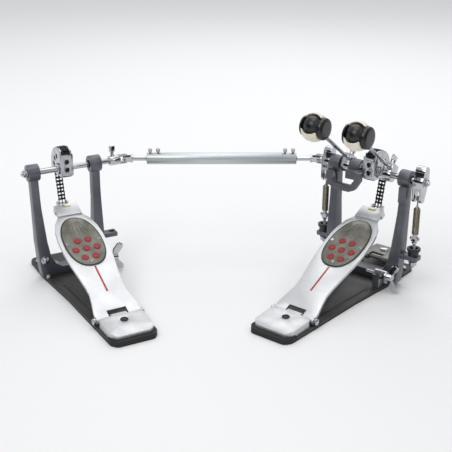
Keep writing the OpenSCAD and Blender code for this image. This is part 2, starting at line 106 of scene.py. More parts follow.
class Grain(Enum):
    """Fine pattern that a finish leaves on a surface."""

    SKIN = "even skin of paint or rubber"
    LINES = "straight lines of brushing or drawing"
    SWIRL = "soft swirls of buffing"
    FIBRE = "matted fibres"
    FLECK = "cloudy flecks"


# ---- Joint lookups and places -------------------------------------------------------

def joint(name: str) -> dict:
    """Finds a joint of the frame.

    Args:
        name: The joint's name.

    Returns:
        The joint's record.
    """
    return next(item for item in frame["joints"] if item["name"] == name)


def pedal_matrix(side: Side) -> Matrix:
    """Place of a pedal's own frame, from its footboard's hinge.

    Args:
        side: Which pedal.

    Returns:
        The matrix from the pedal's frame to the row frame, in metres.
    """
    hinge = joint(side.fold)
    across = -Vector(hinge["axis"])
    origin = Vector((hinge["pos_m"][0], hinge["pos_m"][1], 0.0))
    return Matrix.Translation(origin) @ Matrix.Rotation(math.atan2(across.y, across.x), 4, "Z")


def shift(x: float, y: float, z: float) -> Matrix:
    """Matrix of a move, in millimetres."""
    return Matrix.Translation(Vector((x, y, z)) * MM)


def tilt(angle: float, axis: str = "X") -> Matrix:
    """Matrix of a turn about an axis, in degrees."""
    return Matrix.Rotation(math.radians(angle), 4, axis)


# ---- Mesh helpers -------------------------------------------------------------------

def only(piece: Piece) -> None:
    """Selects one piece alone and makes it active."""
    bpy.ops.object.select_all(action="DESELECT")
    piece.select_set(True)
    bpy.context.view_layer.objects.active = piece


def named(name: str) -> Piece:
    """Names the piece that was just added, and settles its turn and place into its mesh.

    Args:
        name: Its new name.

    Returns:
        The piece.
    """
    piece = bpy.context.object
    piece.name = piece.data.name = name
    bpy.ops.object.transform_apply(location=True, rotation=True, scale=True)
    return piece


def modify(piece: Piece, kind: str, **settings: object) -> Piece:
    """Adds a modifier to a piece and applies it.

    Args:
        piece: The piece.
        kind: The modifier's type.
        settings: The modifier's settings.

    Returns:
        The same piece.
    """
    only(piece)
    modifier = piece.modifiers.new(kind.title(), kind)
    for key, value in settings.items():
        setattr(modifier, key, value)
    bpy.ops.object.modifier_apply(modifier=modifier.name)
    return piece


def soften(piece: Piece, width: float, segments: int = 2, angle: float = 35.0) -> Piece:
    """Rounds a piece's edges and smooths its shading.

    Args:
        piece: The piece.
        width: Width of the rounding in millimetres, or 0 to only smooth.
        segments: Steps across the rounding.
        angle: Edges sharper than this many degrees are rounded.

    Returns:
        The same piece.
    """
    if width > 0:
        modify(piece, "BEVEL", width=width * MM, segments=segments, limit_method="ANGLE",
               angle_limit=math.radians(angle), miter_outer="MITER_ARC")
    only(piece)
    bpy.ops.object.shade_smooth_by_angle(angle=math.radians(angle))
    return piece


def edit(piece: Piece, steps: Callable[[], None]) -> Piece:
    """Runs steps on a piece in edit mode, with everything selected.

    Args:
        piece: The piece.
        steps: A function of edit mode operators.

    Returns:
        The same piece.
    """
    only(piece)
    bpy.ops.object.mode_set(mode="EDIT")
    bpy.ops.mesh.select_all(action="SELECT")
    steps()
    bpy.ops.object.mode_set(mode="OBJECT")
    return piece


def outward(piece: Piece) -> Piece:
    """Merges a piece's doubles and points its faces outwards.

    Args:
        piece: The piece.

    Returns:
        The same piece.
    """
    def steps() -> None:
        """Merge, then recalculate."""
        bpy.ops.mesh.remove_doubles(threshold=1e-6)
        bpy.ops.mesh.normals_make_consistent(inside=False)
    return edit(piece, steps)


def pick(piece: Piece, test: Callable[[Vector], bool]) -> None:
    """In edit mode, selects only the vertices whose place passes a test.

    Args:
        piece: The piece in edit mode.
        test: Takes a place in millimetres.
    """
    bpy.ops.mesh.select_mode(type="VERT")
    bpy.ops.mesh.select_all(action="DESELECT")
    mesh = bmesh.from_edit_mesh(piece.data)
    for vertex in mesh.verts:
        vertex.select = test(vertex.co / MM)
    mesh.select_flush(True)
    bmesh.update_edit_mesh(piece.data)


def block(name: str, low: Point, high: Point) -> Piece:
    """A box between two corners, in millimetres.

    Args:
        name: The piece's name.
        low: Its lowest corner.
        high: Its highest corner.

    Returns:
        The box.
    """
    size = [(h - l) * MM for l, h in zip(low, high)]
    middle = [(h + l) / 2 * MM for l, h in zip(low, high)]
    bpy.ops.object.select_all(action="DESELECT")
    bpy.ops.mesh.primitive_cube_add(size=1, location=middle, scale=size)
    return named(name)


def turned(name: str, profile: Profile, at: Point = (0, 0, 0), turn: Point = (0, 0, 0),
           sides: int = 32) -> Piece:
    """A round piece, turned about z from its lower end to its upper end.

    Args:
        name: The piece's name.
        profile: Heights and radii in millimetres.
        at: Where the profile's origin goes, in millimetres.
        turn: Turn of the finished piece about x, y and z, in degrees.
        sides: Sides of each ring.

    Returns:
        The closed piece.
    """
    first_z, first_r = profile[0]
    bpy.ops.object.select_all(action="DESELECT")
    bpy.ops.mesh.primitive_circle_add(vertices=sides, radius=first_r * MM, fill_type="NGON",
                                      location=(0, 0, first_z * MM))
    piece = named(name)

    def steps() -> None:
        """Extrude and resize the ring for each step of the profile."""
        z, r = first_z, first_r
        for next_z, next_r in profile[1:]:
            bpy.ops.mesh.extrude_region_move(
                TRANSFORM_OT_translate={"value": (0, 0, (next_z - z) * MM)})
            ratio = next_r / r
            bpy.ops.transform.resize(value=(ratio, ratio, 1), center_override=(0, 0, next_z * MM))
            z, r = next_z, next_r
        bpy.ops.mesh.select_all(action="SELECT")
        bpy.ops.mesh.normals_make_consistent(inside=False)
    edit(piece, steps)
    piece.rotation_euler = [math.radians(angle) for angle in turn]
    piece.location = Vector(at) * MM
    only(piece)
    bpy.ops.object.transform_apply(location=True, rotation=True, scale=True)
    return piece


def rod(name: str, radius: float, length: float, at: Point, turn: Point = (0, 0, 0),
        sides: int = 32, chamfer: float = 0.3) -> Piece:
    """A round bar with chamfered ends, from a point along z, turned in degrees.

    Args:
        name: The piece's name.
        radius: Its radius in millimetres.
        length: Its length.
        at: Centre of its first end.
        turn: Its turn about x, y and z, in degrees.
        sides: Sides of its circle.
        chamfer: Size of the chamfers.

    Returns:
        The bar.
    """
    return turned(name, [(0, radius - chamfer), (chamfer, radius), (length - chamfer, radius),
                         (length, radius - chamfer)], at, turn, sides)


def ring(name: str, major: float, minor: float, at: Point, turn: Point = (0, 0, 0),
         steps: tuple[int, int] = (40, 10)) -> Piece:
    """A round ring of round wire, in millimetres and degrees.

    Args:
        name: The piece's name.
        major: Radius of the ring's centre line.
        minor: Radius of its wire.
        at: Its centre.
        turn: Its turn about x, y and z.
        steps: Steps round the ring and round the wire.

    Returns:
        The ring.
    """
    bpy.ops.object.select_all(action="DESELECT")
    bpy.ops.mesh.primitive_torus_add(
        major_radius=major * MM, minor_radius=minor * MM, major_segments=steps[0],
        minor_segments=steps[1], location=Vector(at) * MM,
        rotation=[math.radians(angle) for angle in turn])
    return named(name)


def hexagon(name: str, across: float, height: float, at: Point, turn: Point = (0, 0, 0)) -> Piece:
    """A hexagon nut or head, given across its corners, with crowned faces.

    Args:
        name: The piece's name.
        across: Distance across the corners in millimetres.
        height: Its height.
        at: Centre of its lower face.
        turn: Its turn about x, y and z, in degrees.

    Returns:
        The nut.
    """
    radius = across / 2
    return turned(name, [(0, radius * 0.94), (0.5, radius), (height - 0.5, radius),
                         (height, radius * 0.9)], at, turn, sides=6)


def coil(name: str, radius: float, wire: float, pitch: float, turns: int, at: Point,
         detail: tuple[int, int] = (24, 8)) -> Piece:
    """A helix of round wire that climbs along z.

    Args:
        name: The piece's name.
        radius: Radius of the helix in millimetres.
        wire: Radius of the wire.
        pitch: Climb of one turn.
        turns: Number of turns.
        at: Its lower end's centre.
        detail: Steps to a turn, and sides of the wire.

    Returns:
        The piece.
    """
    bpy.ops.object.select_all(action="DESELECT")
    bpy.ops.mesh.primitive_circle_add(vertices=detail[1], radius=wire * MM, fill_type="NGON",
                                      location=(radius * MM, 0, 0), rotation=(math.pi / 2, 0, 0))
    piece = named(name)
    modify(piece, "SCREW", axis="Z", screw_offset=pitch * MM, iterations=turns, angle=math.tau,
           steps=detail[0], render_steps=detail[0], use_merge_vertices=False)
    piece.data.transform(shift(*at))
    outward(piece)
    return soften(piece, 0, angle=60)


def joined(name: str, pieces: Sequence[Piece]) -> Piece:
    """Joins pieces into one.

    Args:
        name: Name of the result.
        pieces: The pieces, which are used up.

    Returns:
        The joined piece.
    """
    only(pieces[0])
    for piece in pieces[1:]:
        piece.select_set(True)
    if len(pieces) > 1:
        bpy.ops.object.join()
    pieces[0].name = pieces[0].data.name = name
    return pieces[0]


def copied(piece: Piece, name: str, matrix: Matrix) -> Piece:
    """A copy of a piece with its own mesh, moved by a matrix.

    Args:
        piece: The pattern.
        name: The copy's name.
        matrix: The move.

    Returns:
        The copy.
    """
    twin = piece.copy()
    twin.data = piece.data.copy()
    twin.name = twin.data.name = name
    bpy.context.scene.collection.objects.link(twin)
    twin.data.transform(matrix)
    return twin


def discard(piece: Piece) -> None:
    """Deletes a pattern piece that was only copied from."""
    bpy.data.objects.remove(piece)


def cut(piece: Piece, tool: Piece, operation: str = "DIFFERENCE") -> Piece:
    """Cuts a piece with a tool piece, which is used up.

    Args:
        piece: The piece.
        tool: The tool.
        operation: The kind of cut.

    Returns:
        The same piece.
    """
    modify(piece, "BOOLEAN", object=tool, operation=operation, solver="EXACT")
    discard(tool)
    return piece


def refined(node: str, bevel: float, segments: int = 2) -> Piece:
    """A copy of a frame node with clean faces and rounded edges.

    Args:
        node: The node, which the copy then stands for.
        bevel: Width of the rounding in millimetres.
        segments: Steps across the rounding.

    Returns:
        The copy, in the node's place.
    """
    piece = bpy.data.objects.new(f"{node}_finished", frame["nodes"][node].data.copy())
    bpy.context.scene.collection.objects.link(piece)
    only(piece)
    bpy.ops.mesh.customdata_custom_splitnormals_clear()

    def steps() -> None:
        """Merge the loose triangles and dissolve the flat ones."""
        bpy.ops.mesh.remove_doubles(threshold=2e-6)
        bpy.ops.mesh.dissolve_limited(angle_limit=math.radians(0.5))
        bpy.ops.mesh.select_all(action="SELECT")
        bpy.ops.mesh.quads_convert_to_tris(ngon_method="BEAUTY")
        bpy.ops.mesh.tris_convert_to_quads()
    edit(piece, steps)
    soften(piece, bevel, segments)
    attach(piece, frame["nodes"][node]["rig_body"])
    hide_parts(node)
    return piece


# ---- Finishes -----------------------------------------------------------------------

def linear(colour: str) -> tuple[float, float, float, float]:
    """Turns an sRGB hex colour to linear.

    Args:
        colour: Six hex digits after a hash.

    Returns:
        Linear red, green, blue and alpha.
    """
    parts = [int(colour[i:i + 2], 16) / 255 for i in (1, 3, 5)]
    return (*(p / 12.92 if p <= 0.04045 else ((p + 0.055) / 1.055) ** 2.4 for p in parts), 1.0)


def add_node(tree: bpy.types.NodeTree, kind: str, inputs: dict | None = None,
             **settings: object) -> bpy.types.Node:
    """Adds a node with its settings and links.

    Args:
        tree: The node tree.
        kind: The node's type, without its ShaderNode start.
        inputs: Values or output sockets for the node's inputs, by name or number.
        settings: The node's own settings.

    Returns:
        The node.
    """
    node = tree.nodes.new("ShaderNode" + kind)
    for key, value in settings.items():
        setattr(node, key, value)
    for key, value in (inputs or {}).items():
        if isinstance(value, bpy.types.NodeSocket):
            tree.links.new(value, node.inputs[key])
        else:
            node.inputs[key].default_value = value
    return node


@dataclass(frozen=True)
class Finish:
    """A surface finish.

    Attributes:
        name: What the finish is.
        slot: The record's material slot that it belongs to. Not used.
        colour: Main colour.
        second: Colour of its slow variation.
        metallic: 1 for bare metal, 0 for paint, plastic and cloth.
        rough: Least and most roughness.
        grain: Fine pattern.
        grain_mm: Size of the fine pattern.
        bump_mm: Height of the fine pattern.
        patch_mm: Size of the slow variation.
        worn: Colour of worn edges, if it wears.
        coat: Strength of a clear coat.
        sheen: Strength of a soft sheen.
        heading: Direction of straight lines about z, in degrees.
    """

    name: str
    slot: str
    colour: str
    second: str
    metallic: float = 0.0
    rough: tuple[float, float] = (0.4, 0.6)
    grain: Grain = Grain.SKIN
    grain_mm: float = 1.0
    bump_mm: float = 0.02
    patch_mm: float = 30.0
    worn: str | None = None
    coat: float = 0.0
    sheen: float = 0.0
    heading: float = 0.0

    def material(self) -> bpy.types.Material:
        """Makes the finish's material once, and finds it again later."""
        found = bpy.data.materials.get(self.name)
        if found:
            return found
        material = bpy.data.materials.new(self.name)
        material.use_nodes = True
        tree = material.node_tree
        shader = tree.nodes["Principled BSDF"]
        place = add_node(tree, "TexCoord").outputs["Object"]
        cloud = add_node(tree, "TexNoise", {"Vector": place, "Scale": 1 / (self.patch_mm * MM),
                                            "Detail": 4.0, "Roughness": 0.55}).outputs["Fac"]
        fine = self.pattern(tree, place)
        colour = self.tint(tree, cloud, fine)
        blend = add_node(tree, "Math", {0: cloud, 1: fine}, operation="MULTIPLY_ADD")
        blend.inputs[2].default_value = 0.12
        rough = add_node(tree, "MapRange", {"Value": blend.outputs[0], "From Min": 0.22,
                                            "From Max": 0.55, "To Min": self.rough[0],
                                            "To Max": self.rough[1]})
        bump = add_node(tree, "Bump", {"Height": fine, "Distance": self.bump_mm * MM,
                                       "Strength": 1.0})
        tree.links.new(colour, shader.inputs["Base Color"])
        tree.links.new(rough.outputs["Result"], shader.inputs["Roughness"])
        tree.links.new(bump.outputs["Normal"], shader.inputs["Normal"])
        shader.inputs["Metallic"].default_value = self.metallic
        shader.inputs["Coat Weight"].default_value = self.coat
        shader.inputs["Coat Roughness"].default_value = 0.12
        shader.inputs["Sheen Weight"].default_value = self.sheen
        return material

    def pattern(self, tree: bpy.types.NodeTree, place: bpy.types.NodeSocket) -> bpy.types.NodeSocket:
        """Adds the fine pattern.

        Args:
            tree: The node tree.
            place: Object coordinates.

        Returns:
            The pattern's height, about 0 to 1.
        """
        size = 1 / (self.grain_mm * MM)
        if self.grain is Grain.LINES:
            # Lines are 60 times as long as they are wide, along y of the turned pattern
            turned_place = add_node(tree, "Mapping", {
                "Vector": place, "Rotation": (0, 0, math.radians(-self.heading)),
                "Scale": (1, 1 / 60, 1)}).outputs["Vector"]
            return add_node(tree, "TexNoise", {"Vector": turned_place, "Scale": size,
                                               "Detail": 2.0}).outputs["Fac"]
        if self.grain is Grain.SWIRL:
            return add_node(tree, "TexNoise", {"Vector": place, "Scale": size, "Detail": 3.0,
                                               "Distortion": 2.5}).outputs["Fac"]
        if self.grain is Grain.FIBRE:
            warp = add_node(tree, "TexNoise", {"Vector": place, "Scale": size / 3, "Detail": 2.0})
            bent = add_node(tree, "VectorMath", {0: warp.outputs["Color"], 1: (0.004,) * 3, 2: place},
                            operation="MULTIPLY_ADD")
            return add_node(tree, "TexNoise", {"Vector": bent.outputs[0], "Scale": size,
                                               "Detail": 8.0, "Roughness": 0.75}).outputs["Fac"]
        if self.grain is Grain.FLECK:
            return add_node(tree, "TexVoronoi", {"Vector": place, "Scale": size,
                                                 "Randomness": 1.0}).outputs["Distance"]
        return add_node(tree, "TexNoise", {"Vector": place, "Scale": size, "Detail": 4.0,
                                           "Roughness": 0.5}).outputs["Fac"]

    def tint(self, tree: bpy.types.NodeTree, cloud: bpy.types.NodeSocket,
             fine: bpy.types.NodeSocket) -> bpy.types.NodeSocket:
        """Adds the colour, its slow variation and its worn edges.

        Args:
            tree: The node tree.
            cloud: Slow variation.
            fine: Fine pattern.

        Returns:
            The colour.
        """
        slow = add_node(tree, "MapRange", {"Value": cloud, "From Min": 0.35, "From Max": 0.7})
        # Inputs 6 and 7 and output 2 of a mix node are its colours
        mixed = add_node(tree, "Mix", {0: slow.outputs[0], 6: linear(self.colour),
                                       7: linear(self.second)}, data_type="RGBA")
        shade = add_node(tree, "MapRange", {"Value": fine, "From Min": 0.3, "From Max": 0.7,
                                            "To Min": 0.9, "To Max": 1.06})
        scaled = add_node(tree, "VectorMath", {0: mixed.outputs[2], "Scale": shade.outputs[0]},
                          operation="SCALE")
        if not self.worn:
            return scaled.outputs[0]
        edges = add_node(tree, "NewGeometry").outputs["Pointiness"]
        wear = add_node(tree, "MapRange", {"Value": edges, "From Min": 0.53, "From Max": 0.62,
                                           "To Max": 0.55})
        worn = add_node(tree, "Mix", {0: wear.outputs[0], 6: scaled.outputs[0], 7: linear(self.worn)},
                        data_type="RGBA")
        return worn.outputs[2]


# Satin metallic paint over a zinc casting: a soft wide highlight, slightly lighter on its edges
CAST_PAINT = Finish("satin_grey_cast_paint", "cast_grey", "#63656c", "#565860", 0.4, (0.32, 0.46),
                    Grain.SKIN, 1.1, 0.02, 40, worn="#85858d", coat=0.2)
# Powder coat on steel plate: dark, dull, with a fine leathery texture
POWDER_COAT = Finish("black_powder_coat", "plate_black", "#32322f", "#282826", 0.0, (0.45, 0.62),
                     Grain.SKIN, 0.7, 0.05, 35, worn="#55554f", coat=0.1)
# Moulded rubber: nearly black, no clear highlight
RUBBER = Finish("moulded_black_rubber", "rubber_black", "#1e1e1f", "#29292a", 0.0, (0.62, 0.85),
                Grain.SKIN, 0.9, 0.05, 20)
# Cast aluminium, buffed after sanding: bright, with faint lines along the board
BUFFED_RIGHT = Finish("buffed_aluminium_right", "polished_alloy", "#d6d7d8", "#cacbcd", 0.92,
                      (0.36, 0.5), Grain.LINES, 0.5, 0.008, 45, heading=-39)
BUFFED_LEFT = Finish("buffed_aluminium_left", "polished_alloy", "#d6d7d8", "#cacbcd", 0.92,
                     (0.36, 0.5), Grain.LINES, 0.5, 0.008, 45, heading=28.5)
# The same metal as cast and tumbled: a fine hammered skin
CAST_ALLOY = Finish("tumbled_cast_aluminium", "polished_alloy", "#d2d3d4", "#c3c4c6", 0.9,
                    (0.36, 0.52), Grain.SKIN, 1.2, 0.035, 25)
# Zinc plated sheet, passivated: dull grey with a faint warm cast
ZINC_SHEET = Finish("dull_zinc_sheet", "polished_alloy", "#96958d", "#85847c", 0.75, (0.4, 0.55),
                    Grain.SWIRL, 2.0, 0.01, 15)
# Drawn aluminium tube, satin anodised: lines along the tube
ANODISED = Finish("satin_anodised_tube", "shaft_alloy", "#c3c9ca", "#b7bdbf", 0.9, (0.34, 0.46),
                  Grain.LINES, 0.5, 0.006, 60, heading=-90)
# Chrome plate: a clear mirror with slight smudges
CHROME = Finish("bright_chrome_plate", "chrome_steel", "#c2c3c7", "#b2b3b8", 1.0, (0.07, 0.18),
                Grain.SWIRL, 4.0, 0.003, 18)
CAM_CHROME = Finish("pressed_chrome_cam", "cam_chrome", "#bebfc4", "#adaeb4", 1.0, (0.1, 0.22),
                    Grain.SWIRL, 3.0, 0.004, 18)
# Nickel plated spring wire: warmer and duller than chrome
SPRING_WIRE = Finish("nickel_spring_wire", "spring_steel", "#a1998c", "#8a8275", 1.0, (0.2, 0.34),
                     Grain.SWIRL, 1.5, 0.004, 8)
# Black oxide on steel, oiled: dark metal with small bright spots
BLACK_OXIDE = Finish("oiled_black_oxide", "chain_black", "#222224", "#2f2f31", 0.7, (0.22, 0.42),
                     Grain.SKIN, 0.8, 0.01, 5)
# Ground steel rings
GROUND_STEEL = Finish("ground_bearing_steel", "bearing_steel", "#b4b5b8", "#9fa0a4", 1.0,
                      (0.18, 0.3), Grain.SWIRL, 1.0, 0.003, 8)
# Pressed wool felt: fully rough, with matted fibres and a soft sheen
FELT = Finish("pressed_wool_felt", "felt_cream", "#f3eedd", "#e8dfc8", 0.0, (0.88, 1.0), Grain.FIBRE,
              0.8, 0.25, 9, sheen=0.45)
# Moulded nylon, polished in the mould: deep black with a clear highlight
GLOSS_PLASTIC = Finish("gloss_black_plastic", "black_plastic", "#101013", "#151518", 0.0,
                       (0.24, 0.34), Grain.SKIN, 3.0, 0.004, 20, coat=0.12)
SATIN_PLASTIC = Finish("satin_black_plastic", "black_plastic", "#232326", "#1b1b1e", 0.0,
                       (0.3, 0.45), Grain.SKIN, 0.8, 0.02, 15)
# Smoke polycarbonate over a dull plate: olive grey clouds under a clear surface
SMOKE_PAD = Finish("smoke_grip_pad", "pad_rubber", "#77766a", "#5d5c52", 0.15, (0.3, 0.5),
                   Grain.FLECK, 2.2, 0.02, 14, coat=0.4)
# Red moulded rubber studs
RED_RUBBER = Finish("red_stud_rubber", "pad_rubber", "#a3242a", "#8d1b22", 0.0, (0.4, 0.55),
                    Grain.SKIN, 0.8, 0.02, 6)
# Baked red enamel in the board's groove
RED_ENAMEL = Finish("baked_red_enamel", "polished_alloy", "#b01f28", "#9d1a22", 0.0, (0.2, 0.32),
                    Grain.SKIN, 1.5, 0.006, 12, coat=0.4)
# Brass pad that the chain bears on
BRASS = Finish("pale_brass", "polished_alloy", "#d6d0b6", "#c7c0a2", 0.7, (0.22, 0.36), Grain.LINES,
               0.5, 0.006, 10)


def dress(piece: Piece, *finishes: Finish) -> Piece:
    """Gives a piece its finishes.

    Args:
        piece: The piece.
        finishes: One finish, or one for each material number on its faces.

    Returns:
        The same piece.
    """
    numbers = [face.material_index for face in piece.data.polygons]
    piece.data.materials.clear()
    for finish in finishes:
        piece.data.materials.append(finish.material())
    if len(finishes) > 1:
        piece.data.polygons.foreach_set("material_index", numbers)
    return piece


def fasten(piece: Piece, matrix: Matrix, body: str, *finishes: Finish) -> Piece:
    """Moves a new piece from its sub-assembly's frame to its place, and fastens it to a body.

    Args:
        piece: The piece.
        matrix: The sub-assembly's place.
        body: The body it rides on.
        finishes: Its finishes.

    Returns:
        The same piece.
    """
    piece.data.transform(matrix)
    piece.data.update()
    dress(piece, *finishes)
    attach(piece, body)
    return piece


# ---- Sub-assemblies -----------------------------------------------------------------

@dataclass
class SubAssembly:
    """A sub-assembly of the pedal.

    Attributes:
        pieces: Its finished pieces.
    """

    pieces: list[Piece] = field(default_factory=list, init=False)

    def keep(self, piece: Piece) -> Piece:
        """Adds a finished piece to the sub-assembly's list."""
        self.pieces.append(piece)
        return piece

    def carry_over(self, finish: Finish, bevel: float, *nodes: str, segments: int = 2) -> None:
        """Refines frame nodes that only need round edges and a finish.

        Args:
            finish: Their finish.
            bevel: Width of the rounding in millimetres.
            nodes: The nodes.
            segments: Steps across the rounding.
        """
        for node in nodes:
            self.keep(dress(refined(node, bevel, segments), finish))

    def mark(self, piece: Piece, test: Callable[[Vector], bool]) -> None:
        """Gives the second finish to the faces whose centre passes a test.

        Args:
            piece: A piece that is at its place.
            test: Takes a point in the pedal's own frame, in metres.
        """
        inverse = pedal_matrix(self.side).inverted()
        for face in piece.data.polygons:
            face.material_index = int(test(inverse @ face.center))

    def report(self) -> None:
        """Logs the sub-assembly's pieces."""
        for piece in self.pieces:
            log.info("%s: %s, %d faces", type(self).__name__, piece.name, len(piece.data.polygons))


@dataclass
class Base(SubAssembly):
    """Base plate, rubber sole, heel plate, hinge pin and their screws.

    Attributes:
        side: Which pedal.
        knob_ends: Ends of the hinge pin's knobs, from the centre line.
    """

    side: Side
    knob_ends: tuple[float, float] = (40.0, 44.0)

    def build(self) -> None:
        """Makes the base's pieces."""
        node = self.side.node
        self.carry_over(POWDER_COAT, 0.5, node("base_plate"))
        self.carry_over(RUBBER, 0.8, node("base_rubber"))
        self.carry_over(CAST_ALLOY, 1.0, node("heel_plate"), segments=3)
        self.carry_over(CHROME, 0.5, node("hinge_pin"))
        screws = refined(node("base_screws"), 0.5)
        self.mark(screws, lambda place: place.y < 0)
        self.keep(dress(screws, CHROME, BLACK_OXIDE))
        place, body = pedal_matrix(self.side), self.side.body("base")
        self.keep(fasten(self.knobs(node("hinge_knobs")), place, body, CHROME))
        self.keep(fasten(self.dish(node("heel_dish")), place, body, SATIN_PLASTIC))

    def knobs(self, name: str) -> Piece:
        """Domed caps on both ends of the hinge pin.

        Args:
            name: The piece's name.

        Returns:
            Both caps, in the pedal's frame.
        """
        start, end = self.knob_ends
        profile = [(start, 3), (start, 4.9), (start + 1, 5.3), (end - 1.4, 5.3), (end - 0.4, 4.3),
                   (end, 2.6), (end + 0.1, 0.4)]
        made = [turned(f"{name}_{side}", profile, (0, 0, HINGE_Z), (0, side * 90, 0), 32)
                for side in (-1, 1)]
        return soften(joined(name, made), 0)

    def dish(self, name: str) -> Piece:
        """The black washer round the heel plate's screw."""
        return soften(ring(name, 5.6, 0.9, (0, -25, 19.0)), 0)


@dataclass
class PostFrame(SubAssembly):
    """Cast frame with its bearings.

    Attributes:
        side: Which pedal.
    """

    side: Side

    def build(self) -> None:
        """Makes the frame's pieces."""
        node = self.side.node
        self.carry_over(CAST_PAINT, 2.0, node("post_frame"), segments=3)
        self.carry_over(GROUND_STEEL, 0.4, node("bearings"))
        if self.side is Side.RIGHT:
            self.carry_over(CAST_PAINT, 1.5, "loop_bracket", segments=3)
            self.carry_over(SATIN_PLASTIC, 0.6, "spring_cups")
            bracket = refined("clamp_bracket", 1.2, 3)
            self.mark(bracket, lambda place: place.y < 0.2 and place.z > 0.0185)
            self.keep(dress(bracket, CAST_PAINT, CHROME))
            jaw = refined("clamp_jaw", 0.8)
            self.mark(jaw, lambda place: (place - Vector((0, 0.28, 0.032))).length < 0.0088)
            self.keep(dress(jaw, ZINC_SHEET, CHROME))
        screw = "clamp_wing_screw" if self.side is Side.RIGHT else "left_wing_screw"
        self.carry_over(CHROME, 0.9, screw, segments=3)
        place, body = pedal_matrix(self.side), self.side.body("base")
        self.keep(fasten(self.foot_bolt(node("foot_bolt")), place, body, CHROME))

    def foot_bolt(self, name: str) -> Piece:
        """The bolt with a round head on the left post's foot.

        Args:
            name: The piece's name.

        Returns:
            The bolt, in the pedal's frame.
        """
        hub = -73.0 if self.side is Side.RIGHT else -55.0
        at = (hub + 4.5, 208.5, 38)
        head = turned(f"{name}_head", [(-1, 5.4), (1.6, 5.4), (4.6, 4.9), (6.2, 3.6), (6.8, 1.6),
                                            (6.9, 0.3)], at, (90, 0, 0), 32)
        collar = turned(f"{name}_collar", [(-1, 7.2), (0.9, 7.2), (1.3, 6.6)], at, (90, 0, 0), 32)
        return soften(joined(name, [head, collar]), 0)


